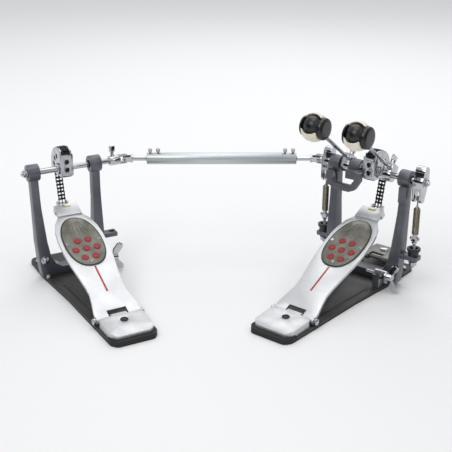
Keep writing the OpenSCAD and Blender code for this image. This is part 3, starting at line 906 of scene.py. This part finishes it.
@dataclass
class Footboard(SubAssembly):
    """Footboard with its grip pad, studs, stripe and toe clamp, built in the board's own frame.

    Attributes:
        side: Which pedal.
        pad_y: Middle of the grip pad along the board.
        pad_half: Half-width and half-length of the pad.
        pad_top: Height of the pad's top.
        board_top: Height of the board's top.
        stud_y: Middle of the group of studs.
        stud_gap: Distances between studs, across and along the board.
        stud_r: Radius of a stud.
        stripe: Where the red stripe starts and ends along the board, and its width.
        screws: Places of the pad's screws.
    """

    side: Side
    pad_y: float = 166.5
    pad_half: tuple[float, float] = (33.8, 57.3)
    pad_top: float = 6.4
    board_top: float = 5.4
    stud_y: float = 148.0
    stud_gap: tuple[float, float] = (19.0, 19.5)
    stud_r: float = 6.1
    stripe: Point = (50.0, 107.5, 3.4)
    screws: Sequence[tuple[float, float]] = ((-28.0, 164.5), (28.0, 164.5), (0.0, 119.5))

    @property
    def place(self) -> Matrix:
        """Place of the board's frame."""
        return pedal_matrix(self.side) @ shift(0, 0, HINGE_Z) @ tilt(BOARD_SLOPE)

    def outline(self, name: str, inset: float, z: float) -> Piece:
        """A flat egg-shaped face, as large as the pad less an inset, at a height.

        Args:
            name: The piece's name.
            inset: How far inside the pad its edge is, in millimetres.
            z: Its height.

        Returns:
            The face.
        """
        bpy.ops.object.select_all(action="DESELECT")
        bpy.ops.mesh.primitive_circle_add(vertices=96, radius=1.0, fill_type="NGON")
        face = named(name)
        for vertex in face.data.vertices:
            c, s = vertex.co.x, vertex.co.y
            x = (self.pad_half[0] - inset) * math.copysign(abs(c) ** 0.86, c) * (1 - 0.05 * s)
            y = self.pad_y + (self.pad_half[1] - inset) * math.copysign(abs(s) ** 0.92, s)
            vertex.co = Vector((x, y, z)) * MM
        return face

    def raised(self, face: Piece, height: float) -> Piece:
        """Draws a face up by a height."""
        return edit(face, lambda: bpy.ops.mesh.extrude_region_move(
            TRANSFORM_OT_translate={"value": (0, 0, height * MM)}))

    def build(self) -> None:
        """Makes the board, the pad and what is on them."""
        node, body = self.side.node, self.side.body("board")
        alloy = BUFFED_RIGHT if self.side is Side.RIGHT else BUFFED_LEFT
        self.carry_over(alloy, 1.2, node("footboard"), segments=3)
        self.carry_over(alloy, 1.0, node("toe_clamp"))
        rim = soften(outward(self.raised(self.outline(node("pad_rim"), 0, 4.5), 2.1)), 0.5)
        pad = soften(outward(self.raised(self.outline(node("pad_plate"), 1.9, 4.6), 2.1)), 0.5)
        self.keep(fasten(rim, self.place, body, SATIN_PLASTIC))
        self.keep(fasten(pad, self.place, body, SMOKE_PAD))
        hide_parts(node("grip_pad"))
        self.keep(fasten(self.studs(node("grip_studs")), self.place, body, RED_RUBBER))
        self.keep(fasten(self.pad_screws(node("pad_screws")), self.place, body, CHROME))
        self.keep(fasten(self.ribs(node("pad_ribs")), self.place, body, SMOKE_PAD))
        start, end, width = self.stripe
        line = block(node("red_stripe"), (-width / 2, start, self.board_top - 0.4),
                     (width / 2, end, self.board_top + 0.15))
        self.keep(fasten(soften(line, 0.1), self.place, body, RED_ENAMEL))
        self.keep(fasten(self.toe_pad(node("toe_brass")), self.place, body, BRASS))

    def studs(self, name: str) -> Piece:
        """The seven rubber studs: two, three and two.

        Args:
            name: The piece's name.

        Returns:
            The studs, in the board's frame.
        """
        gap_x, gap_y = self.stud_gap
        top = self.pad_top + 0.3
        profile = [(-1, self.stud_r), (0.9, self.stud_r), (1.4, self.stud_r - 0.5),
                   (1.5, self.stud_r - 1.2), (1.25, self.stud_r - 2.0), (1.2, 0.2)]
        made = []
        for row, count in ((-1, 2), (0, 3), (1, 2)):
            for i in range(count):
                at = ((i - (count - 1) / 2) * gap_x, self.stud_y + row * gap_y, top)
                made.append(turned(f"{name}_{row}_{i}", profile, at, sides=28))
        return soften(joined(name, made), 0)

    def pad_screws(self, name: str) -> Piece:
        """The pad's small socket screws.

        Args:
            name: The piece's name.

        Returns:
            The screws, in the board's frame.
        """
        profile = [(-1, 2.9), (0.5, 2.9), (0.8, 2.5), (0.8, 1.4), (0.1, 1.3), (0.1, 0.1)]
        top = self.pad_top + 0.3
        made = [turned(f"{name}_{i}", profile, (x, y, top), sides=20)
                for i, (x, y) in enumerate(self.screws)]
        return soften(joined(name, made), 0)

    def ribs(self, name: str) -> Piece:
        """Plain moulded ribs that spread from the pad's toe end.

        Args:
            name: The piece's name.

        Returns:
            The ribs, in the board's frame.
        """
        made = []
        for i in range(-2, 3):
            rib = block(f"{name}_{i}", (-0.8, -36 + 4 * abs(i), 0), (0.8, 0, 0.7))
            rib.data.transform(shift(3.2 * i, self.pad_y + 49 - abs(i), self.pad_top + 0.2)
                               @ tilt(11.0 * i, "Z"))
            made.append(rib)
        return soften(joined(name, made), 0.2)

    def toe_pad(self, name: str) -> Piece:
        """The pale pad on the toe clamp that the chain bears on."""
        return soften(block(name, (-7, 250, 8.2), (7, 256.6, 9.0)), 0.3)


@dataclass
class AxleSet(SubAssembly):
    """Axle, cam, hub and rocker of one pedal.

    Attributes:
        side: Which pedal.
        core_half: Half-width of the cam's black core.
    """

    side: Side
    core_half: float = 7.0

    def build(self) -> None:
        """Makes the axle's pieces."""
        node = self.side.node
        self.carry_over(CHROME, 0.5, node("axle"))
        cam = refined(node("cam"), 0.4)
        self.mark(cam, lambda place: abs(place.x) < self.core_half * MM and place.y > 0.208)
        self.keep(dress(cam, CAM_CHROME, SATIN_PLASTIC))
        self.keep(fasten(self.end_nut(node("axle_nut")), pedal_matrix(self.side),
                         self.side.body("axle"), CHROME))
        if self.side is Side.RIGHT:
            self.carry_over(CHROME, 0.8, "beater_hub", "rocker", segments=3)
            self.carry_over(CHROME, 0.8, "slave_hub", "slave_rocker", segments=3)
            self.carry_over(CHROME, 0.5, "slave_axle")
        else:
            self.carry_over(CHROME, 0.6, "left_yoke")

    def end_nut(self, name: str) -> Piece:
        """The washer and the nut on the axle's free end.

        Args:
            name: The piece's name.

        Returns:
            The nut, in the pedal's frame.
        """
        x, turn = (96.2, 90) if self.side is Side.RIGHT else (-66.2, -90)
        washer_t = 1.4
        washer = rod(f"{name}_washer", 8.2, washer_t, (x, AXLE_Y, AXLE_Z), (0, turn, 0))
        nut_x = x + math.copysign(washer_t, turn)
        nut = hexagon(f"{name}_hexagon", 12.5, 4.4, (nut_x, AXLE_Y, AXLE_Z), (0, turn, 0))
        return soften(joined(name, [washer, nut]), 0.3)


@dataclass
class Chain(SubAssembly):
    """Duplex roller chain, link by link, from the toe clamp's pin up and round the cam.

    Attributes:
        side: Which pedal.
        toe: The toe pin's place along and above the board, y and z.
        radius: Radius of the pins' line on the cam.
        pitch: Distance from pin to pin.
        counts: Links of the two short hinged stretches and of the stretch on the cam.
    """

    side: Side
    toe: tuple[float, float] = (270.0, -0.6)
    radius: float = 36.0
    pitch: float = 6.35
    counts: tuple[int, int, int] = (3, 3, 7)

    def pins(self) -> list[tuple[float, float, str]]:
        """Places of all the pins, with the body that the link after each pin rides on.

        Returns:
            Each pin's y, z and body, from the toe to the cam.
        """
        a = math.radians(BOARD_SLOPE)
        toe_y = self.toe[0] * math.cos(a) - self.toe[1] * math.sin(a)
        toe_z = HINGE_Z + self.toe[0] * math.sin(a) + self.toe[1] * math.cos(a)
        dy, dz = toe_y - AXLE_Y, toe_z - AXLE_Z
        distance = math.hypot(dy, dz)
        start = math.atan2(dz, dy) + math.acos(self.radius / distance)
        end = (AXLE_Y + self.radius * math.cos(start), AXLE_Z + self.radius * math.sin(start))
        length = math.hypot(end[0] - toe_y, end[1] - toe_z)
        along = ((end[0] - toe_y) / length, (end[1] - toe_z) / length)
        count = math.floor(length / self.pitch)
        places = [(toe_y, toe_z, "run")]
        for i in range(count - 1, 0, -1):
            reach = length - i * self.pitch
            places.append((toe_y + along[0] * reach, toe_z + along[1] * reach, "run"))
        step = 2 * math.asin(self.pitch / 2 / self.radius)
        bodies = sum(([name] * n for name, n in zip(("links_1", "links_2", "axle"), self.counts)), [])
        for i, body in enumerate(bodies + ["end"]):
            angle = start + i * step
            places.append((AXLE_Y + self.radius * math.cos(angle),
                           AXLE_Z + self.radius * math.sin(angle), body))
        return places

    def plate(self, name: str, length: float, thick: float) -> Piece:
        """A link plate with a waist, in the plane across x, from the origin along z.

        Args:
            name: The piece's name.
            length: Distance between its pins in millimetres.
            thick: Its thickness.

        Returns:
            The plate.
        """
        bpy.ops.object.select_all(action="DESELECT")
        bpy.ops.mesh.primitive_circle_add(vertices=20, radius=2.45 * MM, fill_type="NGON",
                                          rotation=(0, math.pi / 2, 0), location=(-thick / 2 * MM, 0, 0))
        piece = named(name)

        def steps() -> None:
            """Draw the ends apart, narrow the waist and give the plate its thickness."""
            half = length / 2 * MM
            pick(piece, lambda place: place.z > 0.1)
            bpy.ops.transform.translate(value=(0, 0, half))
            pick(piece, lambda place: place.z < -0.1)
            bpy.ops.transform.translate(value=(0, 0, -half))
            pick(piece, lambda place: abs(place.z) < 0.1)
            bpy.ops.transform.resize(value=(1, 0.68, 1), center_override=(0, 0, 0))
            bpy.ops.mesh.select_all(action="SELECT")
            bpy.ops.transform.translate(value=(0, 0, half))
            bpy.ops.mesh.extrude_region_move(TRANSFORM_OT_translate={"value": (thick * MM, 0, 0)})
            bpy.ops.mesh.select_all(action="SELECT")
            bpy.ops.mesh.normals_make_consistent(inside=False)
        return edit(piece, steps)

    def link(self, name: str, length: float, outer: bool) -> Piece:
        """One link: its plates, and for an outer link its pins with their heads.

        Args:
            name: The link's name.
            length: Distance between its pins.
            outer: True for outer plates and pins, False for inner plates and rollers.

        Returns:
            The link, its first pin at the origin, along z.
        """
        made = []
        for x in ((-5.75, 0.0, 5.75) if outer else (-4.85, -0.85, 0.85, 4.85)):
            piece = self.plate(f"{name}_plate", length, 0.8 if outer or abs(x) > 1 else 0.7)
            piece.data.transform(shift(x, 0, 0))
            made.append(piece)
        if outer:
            made += [rod(f"{name}_pin", 0.95, 12.7, (-6.35, 0, z), (0, 90, 0), 10, 0.15)
                     for z in (0, length)]
        else:
            made += [rod(f"{name}_roller", 1.65, 3.2, (x, 0, z), (0, 90, 0), 12, 0.15)
                     for z in (0, length) for x in (-4.45, 1.25)]
        return joined(name, made)

    def build(self) -> None:
        """Makes the links and joins those that ride together."""
        places = self.pins()
        patterns = {outer: self.link(f"link_{outer}", self.pitch, outer) for outer in (True, False)}
        stretches: dict[str, list[Piece]] = {}
        for i, ((y0, z0, body), (y1, z1, _)) in enumerate(zip(places, places[1:])):
            length = math.hypot(y1 - y0, z1 - z0)
            outer = i % 2 == 0
            lean = math.degrees(math.atan2(-(y1 - y0), z1 - z0))
            place = shift(0, y0, z0) @ tilt(lean) @ Matrix.Diagonal((1, 1, length / self.pitch, 1))
            stretches.setdefault(body, []).append(copied(patterns[outer], f"link_{i}", place))
        for pattern in patterns.values():
            discard(pattern)
        nodes = {"run": "chain_run", "links_1": "chain_seg_1", "links_2": "chain_seg_2",
                 "axle": "chain_wrap"}
        for body, links in stretches.items():
            piece = soften(joined(self.side.node(f"{nodes[body]}_links"), links), 0, angle=40)
            fasten(piece, pedal_matrix(self.side), self.side.body(body), BLACK_OXIDE)
            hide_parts(self.side.node(nodes[body]))
            self.keep(piece)


@dataclass
class Beater(SubAssembly):
    """Beater on the right pedal: its rod, its black body and its two felts.

    Attributes:
        nodes: Names of the rod, core and felt nodes.
        bodies: Names of the rod's and the head's bodies.
        x: Place along the axle.
        lean: Lean of the rod, in degrees.
        reach: Distance from the axle to the head's centre along the rod.
        offset: Offset of the rod from the axle's centre.
        felt_r: Radius of the felts.
        felt_half: Half-width of the felts.
        saddle: Half-thickness of the body between the felts.
        dome_r: Radius of the body's dome.
    """

    nodes: tuple[str, str, str]
    bodies: tuple[str, str]
    x: float
    lean: float = 54.4
    reach: float = 142.0
    offset: float = 11.0
    felt_r: float = 23.8
    felt_half: float = 14.2
    saddle: float = 7.0
    dome_r: float = 17.2

    @property
    def place(self) -> Matrix:
        """Place of the head's frame: +z out along the rod, +y to the drum."""
        return (pedal_matrix(Side.RIGHT) @ shift(self.x, AXLE_Y, AXLE_Z) @ tilt(self.lean)
                @ shift(0, self.offset, self.reach))

    def build(self) -> None:
        """Makes the rod, the body and the felts."""
        self.carry_over(CHROME, 0.4, self.nodes[0])
        core = self.core(self.nodes[1] + "_body")
        fasten(core, self.place, self.bodies[1], GLOSS_PLASTIC)
        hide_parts(self.nodes[1])
        self.keep(core)
        felt = self.felt(self.nodes[2] + "_pads")
        fasten(felt, self.place, self.bodies[1], FELT)
        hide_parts(self.nodes[2])
        self.keep(felt)

    def core(self, name: str) -> Piece:
        """The body: a domed saddle between a thick face on the right and a thin flange on the left.

        Args:
            name: The piece's name.

        Returns:
            The body, in the head's frame.
        """
        bpy.ops.object.select_all(action="DESELECT")
        bpy.ops.mesh.primitive_uv_sphere_add(segments=48, ring_count=24, radius=self.dome_r * MM,
                                             location=(1.0 * MM, 0, 4.9 * MM))
        dome = named(f"{name}_dome")
        neck = turned(f"{name}_neck", [(-16, 9.5), (15, 9.5)], turn=(0, 90, 0))
        stem = turned(f"{name}_stem", [(-18, 7.5), (0, 9.5)])
        saddle = joined(f"{name}_saddle", [dome, neck, stem])
        modify(saddle, "REMESH", mode="VOXEL", voxel_size=0.7 * MM)
        modify(saddle, "SMOOTH", factor=0.5, iterations=14)
        face = turned(f"{name}_face", [
            (13.4, 13), (13.6, 16.4), (14.4, 17.6), (16.0, 18.0), (16.3, 17.4), (17.0, 17.3),
            (17.4, 18.2), (20.0, 18.0), (21.8, 17.0), (22.8, 15.2), (23.2, 12), (23.0, 4)],
            turn=(0, 90, 0), sides=64)
        flange = turned(f"{name}_flange", [
            (-19.3, 9), (-19.5, 15.4), (-18.9, 16.4), (-16.2, 16.4), (-15.6, 15.7), (-14.6, 10)],
            turn=(0, 90, 0), sides=56)
        return soften(joined(name, [saddle, face, flange]), 0, angle=38)

    def felt(self, name: str) -> Piece:
        """Both felts: balls of felt cut flat at their sides, with soft edges.

        Args:
            name: The piece's name.

        Returns:
            The felts, in the head's frame.
        """
        made = []
        for side in (-1, 1):
            bpy.ops.object.select_all(action="DESELECT")
            bpy.ops.mesh.primitive_uv_sphere_add(segments=64, ring_count=32,
                                                 radius=self.felt_r * MM)
            pad = named(f"{name}_{side}")

            def steps(side: int = side) -> None:
                """Cut the ball at both sides and at the body."""
                cuts = [((self.felt_half, 0, 0), (1, 0, 0)), ((-self.felt_half, 0, 0), (-1, 0, 0)),
                        ((0, side * self.saddle, 0), (0, -side, 0))]
                for point, direction in cuts:
                    bpy.ops.mesh.select_all(action="SELECT")
                    bpy.ops.mesh.bisect(plane_co=Vector(point) * MM, plane_no=direction,
                                        use_fill=True, clear_outer=True)
            edit(pad, steps)
            hollow = turned("hollow", [(-17, self.dome_r + 0.5), (20, self.dome_r + 0.5)],
                            at=(1, 0, 8))
            cut(pad, hollow)
            made.append(pad)
        felt = joined(name, made)
        modify(felt, "REMESH", mode="VOXEL", voxel_size=0.8 * MM)
        modify(felt, "SMOOTH", factor=0.5, iterations=6)
        only(felt)
        bpy.ops.object.shade_smooth()
        return felt


@dataclass
class ReturnSpring(SubAssembly):
    """Return spring with its hook, threaded rod, clevis and nuts.

    Attributes:
        nodes: Names of the spring and rod nodes.
        bodies: Names of the lower and upper bodies.
        x: Place along the axle.
        y: Place in front of the hinge.
        low: Height of the coil's lower end.
        high: Height of the coil's upper end.
        pin_z: Height of the rocker's pin.
        radius: Radius of the coil's centre line.
        wire: Radius of its wire.
    """

    nodes: tuple[str, str]
    bodies: tuple[str, str]
    x: float
    y: float = 220.0
    low: float = 102.0
    high: float = 150.0
    pin_z: float = 166.5
    radius: float = 5.0
    wire: float = 0.8

    @property
    def place(self) -> Matrix:
        """Place of the spring's own frame, on the floor under its axis."""
        return pedal_matrix(Side.RIGHT) @ shift(self.x, self.y, 0)

    def build(self) -> None:
        """Makes the coil, its hooks and the rod under it."""
        low_body, top_body = self.bodies
        turns = round((self.high - self.low - 2) / (2 * self.wire + 0.12))
        pitch = (self.high - self.low - 2) / turns
        spring = coil(self.nodes[0] + "_coil", self.radius, self.wire, pitch, turns,
                      (0, 0, self.low + 1))
        spring.data.transform(self.place)
        dress(spring, SPRING_WIRE)
        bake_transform(spring)
        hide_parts(self.nodes[0])
        self.keep(spring)
        self.keep(fasten(self.hook(self.nodes[0] + "_hook"), self.place, top_body, SPRING_WIRE))
        anchor = fasten(self.anchor(self.nodes[1] + "_anchor"), self.place, low_body, CHROME)
        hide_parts(self.nodes[1])
        self.keep(anchor)

    def hook(self, name: str) -> Piece:
        """The hook round the rocker's pin, its stem and the cone that holds the coil.

        Args:
            name: The piece's name.

        Returns:
            The hook, in the spring's frame.
        """
        cone = turned(f"{name}_cone", [(self.high - 5, 3.6), (self.high - 1, 4.0), (self.high, 3.8),
                                       (self.high + 3, 1.4), (self.pin_z - 4.6, 1.2)], sides=24)
        eye = ring(f"{name}_eye", 3.8, 1.2, (0, 0, self.pin_z), (0, 90, 0))
        return soften(joined(name, [cone, eye]), 0)

    def anchor(self, name: str) -> Piece:
        """The clevis under the coil, the threaded rod, and the nuts at the cup.

        Args:
            name: The piece's name.

        Returns:
            The rod and its nuts, in the spring's frame.
        """
        top = self.low
        clevis = [
            turned(f"{name}_plug", [(top - 7, 3.8), (top + 3, 3.8), (top + 4, 3.2)], sides=24),
            rod(f"{name}_pin", 1.6, 15, (-7.5, 0, top - 7), (0, 90, 0), 16),
            soften(block(f"{name}_fork", (-5.6, -3.6, top - 12), (5.6, 3.6, top - 3.5)), 0.8),
        ]
        clevis += [rod(f"{name}_head", 2.7, 1.8, (x, 0, top - 7), (0, 90, 0), 16, 0.5)
                   for x in (-8.2, 6.4)]
        stem = [
            turned(f"{name}_core", [(42, 1.9), (42.6, 2.25), (top - 12, 2.25)], sides=20),
            coil(f"{name}_thread", 2.2, 0.42, 0.95, 50, (0, 0, 42.6), (16, 4)),
            hexagon(f"{name}_tension_nut", 13.0, 6, (0, 0, 45.8)),
            turned(f"{name}_washer", [(52, 7.4), (53.2, 7.4)], sides=32),
            hexagon(f"{name}_lock_nut", 9.0, 3.2, (0, 0, top - 16)),
        ]
        return soften(joined(name, clevis + stem), 0)


@dataclass
class Driveshaft(SubAssembly):
    """Telescoping shaft between the pedals, its screws, bars and universal joints."""

    def build(self) -> None:
        """Makes the shaft's pieces."""
        self.carry_over(ANODISED, 0.6, "shaft_tube")
        self.carry_over(CHROME, 0.5, "shaft_screws", "right_shaft_rod", "left_shaft_rod",
                        "right_cross", "left_cross")


@dataclass
class Studio:
    """Floor, lights and camera.

    Attributes:
        eye: Place of the camera in metres.
        down: How far the camera looks down, in degrees.
        lens: Focal length in millimetres.
    """

    eye: Point = (0.0106, -1.3731, 0.6798)
    down: float = 22.0
    lens: float = 71.7

    def build(self) -> None:
        """Makes the studio."""
        bpy.ops.object.select_all(action="DESELECT")
        bpy.ops.mesh.primitive_plane_add(size=40, location=(0, 0, 0))
        floor = named("studio_floor")
        material = bpy.data.materials.new("white_paper_floor")
        material.use_nodes = True
        shader = material.node_tree.nodes["Principled BSDF"]
        shader.inputs["Base Color"].default_value = linear("#f4f4f4")
        shader.inputs["Roughness"].default_value = 0.9
        shader.inputs["Specular IOR Level"].default_value = 0.1
        floor.data.materials.append(material)
        self.lamp("key", (-1.3, -1.5, 2.2), 1.6, 20)
        self.lamp("fill", (1.8, -1.2, 1.5), 1.4, 8)
        self.lamp("back", (0.3, 1.9, 1.9), 1.8, 14)
        self.lamp("top", (0, 0.1, 2.6), 1.4, 12)
        self.flag("left_flag", (-1.0, -0.7, 0.55), 90)
        self.flag("right_flag", (1.05, -0.5, 0.55), 90)
        self.surround()
        self.camera()

    def lamp(self, name: str, at: Point, size: float, watts: float) -> None:
        """A square softbox that looks at the pedal.

        Args:
            name: Its name.
            at: Its place in metres.
            size: Its side in metres.
            watts: Its power.
        """
        light = bpy.data.lights.new(name, "AREA")
        light.size = size
        light.energy = watts
        lamp = bpy.data.objects.new(name, light)
        lamp.location = at
        lamp.rotation_euler = (Vector((0, 0, 0.1)) - Vector(at)).to_track_quat("-Z", "Y").to_euler()
        bpy.context.scene.collection.objects.link(lamp)

    def flag(self, name: str, at: Point, turn: float) -> None:
        """A dark card beside the pedal, for edges in the bright metal.

        Args:
            name: Its name.
            at: Its place in metres.
            turn: Its turn about z in degrees.
        """
        bpy.ops.object.select_all(action="DESELECT")
        bpy.ops.mesh.primitive_plane_add(size=1, location=at, scale=(1, 1, 1),
                                         rotation=(math.pi / 2, 0, math.radians(turn)))
        card = named(name)
        material = bpy.data.materials.new(f"{name}_card")
        material.use_nodes = True
        shader = material.node_tree.nodes["Principled BSDF"]
        shader.inputs["Base Color"].default_value = linear("#101012")
        shader.inputs["Roughness"].default_value = 0.9
        card.data.materials.append(material)
        card.visible_camera = False

    def surround(self) -> None:
        """An even pale surround, brighter above than at the horizon."""
        world = bpy.data.worlds.new("pale_surround")
        bpy.context.scene.world = world
        world.use_nodes = True
        tree = world.node_tree
        height = add_node(tree, "SeparateXYZ",
                          {"Vector": add_node(tree, "TexCoord").outputs["Generated"]}).outputs["Z"]
        level = add_node(tree, "MapRange", {"Value": height, "From Min": -0.2, "From Max": 0.7,
                                            "To Min": 0.35, "To Max": 0.72})
        tree.links.new(level.outputs[0], tree.nodes["Background"].inputs["Strength"])
        tree.nodes["Background"].inputs["Color"].default_value = linear("#fbfcff")

    def camera(self) -> None:
        """The camera, in front of the pedals and above them."""
        data = bpy.data.cameras.new("camera")
        data.lens = self.lens
        data.sensor_width = 36
        data.clip_end = 50
        camera = bpy.data.objects.new("camera", data)
        camera.location = self.eye
        camera.rotation_euler = (math.radians(90 - self.down), 0, 0)
        bpy.context.scene.collection.objects.link(camera)
        bpy.context.scene.camera = camera
        bpy.context.scene.view_settings.view_transform = "Standard"


def main() -> None:
    """Builds every sub-assembly in order."""
    logging.basicConfig(level=logging.INFO, format="%(name)s %(message)s")
    Studio().build()
    parts: list[SubAssembly] = []
    for side in Side:
        parts += [Base(side), PostFrame(side), Footboard(side), AxleSet(side), Chain(side)]
    parts += [
        Beater(("beater_rod", "beater_core", "beater_felt"), ("right_beater", "right_head"), 28.0),
        Beater(("slave_rod", "slave_core", "slave_felt"), ("slave_beater", "slave_head"), -52.0),
        ReturnSpring(("spring", "spring_rod"), ("right_spring_low", "right_spring_top"), 88.0),
        ReturnSpring(("slave_spring", "slave_spring_rod"),
                     ("slave_spring_low", "slave_spring_top"), -91.0),
        Driveshaft(),
    ]
    for part in parts:
        part.build()
        part.report()


if __name__ == "__main__":
    main()
